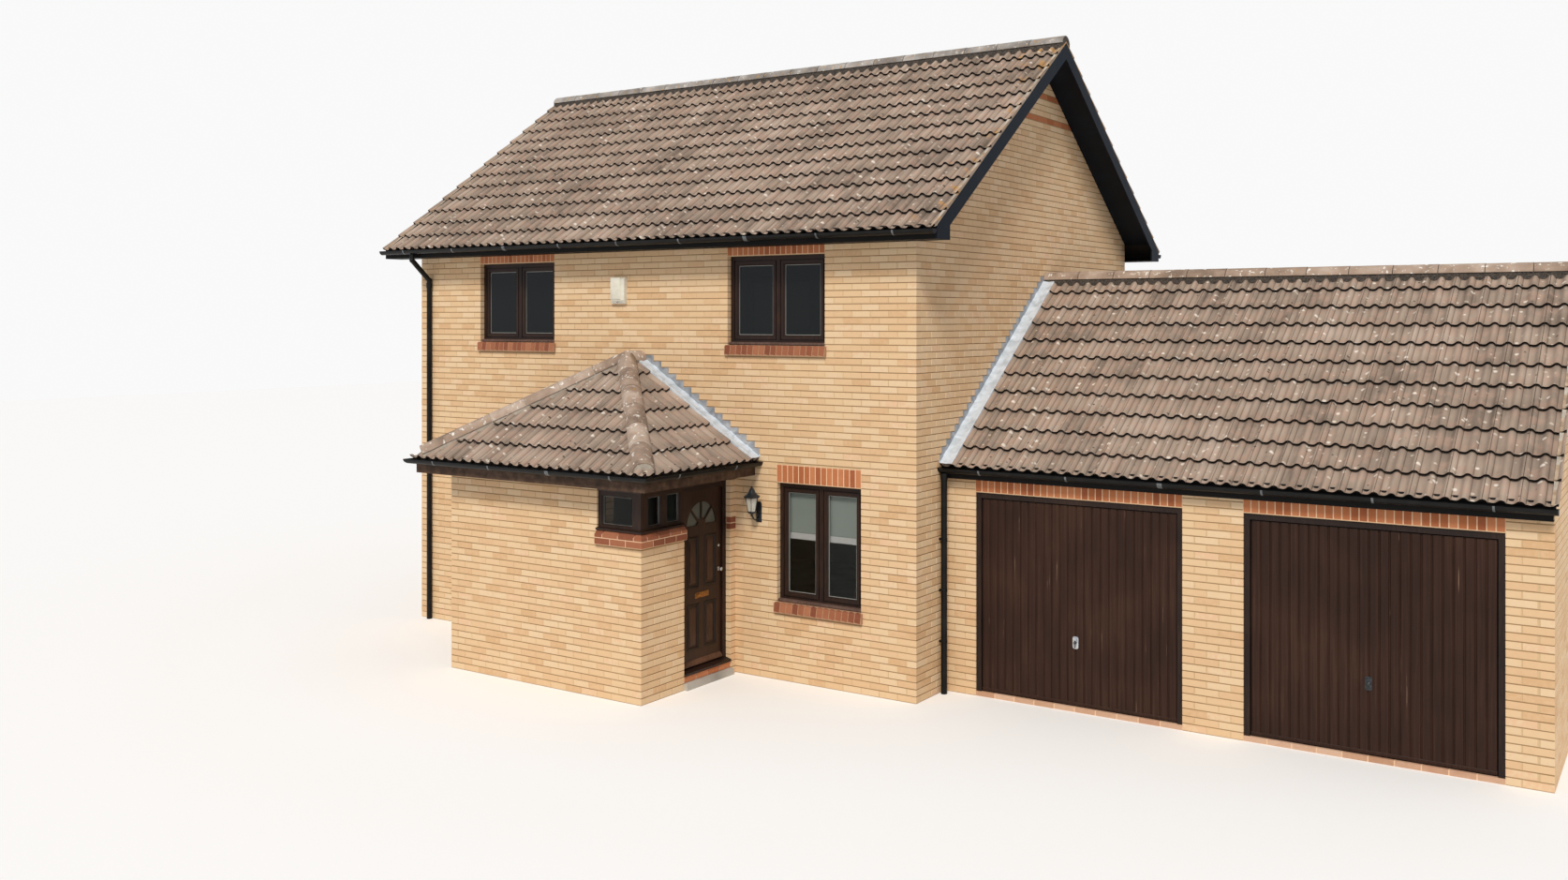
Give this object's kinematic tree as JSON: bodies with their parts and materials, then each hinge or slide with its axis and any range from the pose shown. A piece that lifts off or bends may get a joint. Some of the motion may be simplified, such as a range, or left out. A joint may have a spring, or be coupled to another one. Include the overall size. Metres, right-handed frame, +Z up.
{
  "type": "detached house",
  "caption": "Two-storey brick house with a gabled tile roof, a hipped entrance porch with a corner window, and a lower linked garage with up-and-over doors.",
  "frame": {"origin": "middle of the house block's footprint, at ground level", "axes": "+X along the ridge towards the garage, +Y from the front towards the back garden, +Z up"},
  "size_m": [14.105, 8.7926, 7.6268],
  "materials": {
    "buff_brick": "rough",
    "red_brick": "rough",
    "concrete": "rough",
    "floor_boards": "matt",
    "roof_tile": "rough",
    "ridge_tile": "rough",
    "brown_timber": "satin",
    "glass": "clear",
    "black_plastic": "satin",
    "dark_board": "satin",
    "blind_cloth": "matt",
    "cream_plastic": "satin",
    "brass": "worn",
    "black_metal": "satin",
    "plaque_ceramic": "matt",
    "door_steel": "satin",
    "gear_steel": "galvanised",
    "bright_handle": "satin",
    "dark_handle": "satin",
    "lead": "weathered"
  },
  "bodies": {
    "house": {"ground_slab": "concrete", "first_floor": "floor_boards", "front_wall_left": "buff_brick", "front_wall_right": "buff_brick", "front_wall_upper": "buff_brick", "back_wall": "buff_brick", "left_gable_wall": "buff_brick", "right_gable_wall": "buff_brick", "main_roof_front": "roof_tile", "main_roof_back": "roof_tile", "barge_boards": "dark_board", "window_frames": "brown_timber", "window_glass": "glass", "window_sills": "red_brick", "roller_blinds": "blind_cloth", "alarm_box": "cream_plastic", "porch_front_wall": "buff_brick", "porch_left_wall": "buff_brick", "porch_side_wall": "buff_brick", "porch_sill_band": "red_brick", "porch_beam": "brown_timber", "porch_window_frames": "brown_timber", "porch_glass": "glass", "porch_roof_front": "roof_tile", "porch_roof_left": "roof_tile", "porch_roof_right": "roof_tile", "porch_hip_tiles": "ridge_tile", "front_door_frame": "brown_timber", "front_step": "red_brick", "lantern": "black_metal", "number_plaque": "plaque_ceramic", "porch_slab": "concrete", "garage_thresholds": "red_brick", "garage_slab": "concrete", "garage_piers": "buff_brick", "garage_lintel": "buff_brick", "garage_back_wall": "buff_brick", "garage_end_wall": "buff_brick", "garage_roof_front": "roof_tile", "garage_roof_back": "roof_tile", "garage_door_frames": "brown_timber", "ridge_tiles": "ridge_tile", "fascias_and_soffits": "dark_board", "gutters": "black_plastic", "downpipes": "black_plastic", "lead_flashings": "lead"},
    "front_door": {"front_door": "brown_timber", "front_door_glass": "glass", "front_door_fittings": "brass"},
    "garage_arms_left": {"garage_arms_left": "gear_steel"},
    "garage_panel_left": {"garage_door_left": "door_steel", "garage_handle_left": "bright_handle"},
    "garage_arms_right": {"garage_arms_right": "gear_steel"},
    "garage_panel_right": {"garage_door_right": "door_steel", "garage_handle_right": "dark_handle"}
  },
  "joints": [
    {"name": "front_door_hinge", "type": "hinge", "parent": "house", "child": "front_door", "pos_m": [1.353, -4.0605, 1.2], "axis": [0, 0, 1], "range_deg": [0, 90]},
    {"name": "garage_arms_left_pivot", "type": "hinge", "parent": "house", "child": "garage_arms_left", "pos_m": [5.39, -2.367, 2.15], "axis": [1, 0, 0], "range_deg": [0, 88]},
    {"name": "garage_panel_left_pivot", "type": "hinge", "parent": "garage_arms_left", "child": "garage_panel_left", "pos_m": [5.39, -2.367, 1.106], "axis": [-1, 0, 0], "range_deg": [0, 176]},
    {"name": "garage_arms_right_pivot", "type": "hinge", "parent": "house", "child": "garage_arms_right", "pos_m": [8.265, -2.367, 2.15], "axis": [1, 0, 0], "range_deg": [0, 88]},
    {"name": "garage_panel_right_pivot", "type": "hinge", "parent": "garage_arms_right", "child": "garage_panel_right", "pos_m": [8.265, -2.367, 1.106], "axis": [-1, 0, 0], "range_deg": [0, 176]}
  ],
  "couplings": [
    {"joint": "garage_arms_left_pivot", "follows": "garage_panel_left_pivot", "ratio": 0.5},
    {"joint": "garage_arms_right_pivot", "follows": "garage_panel_right_pivot", "ratio": 0.5}
  ]
}
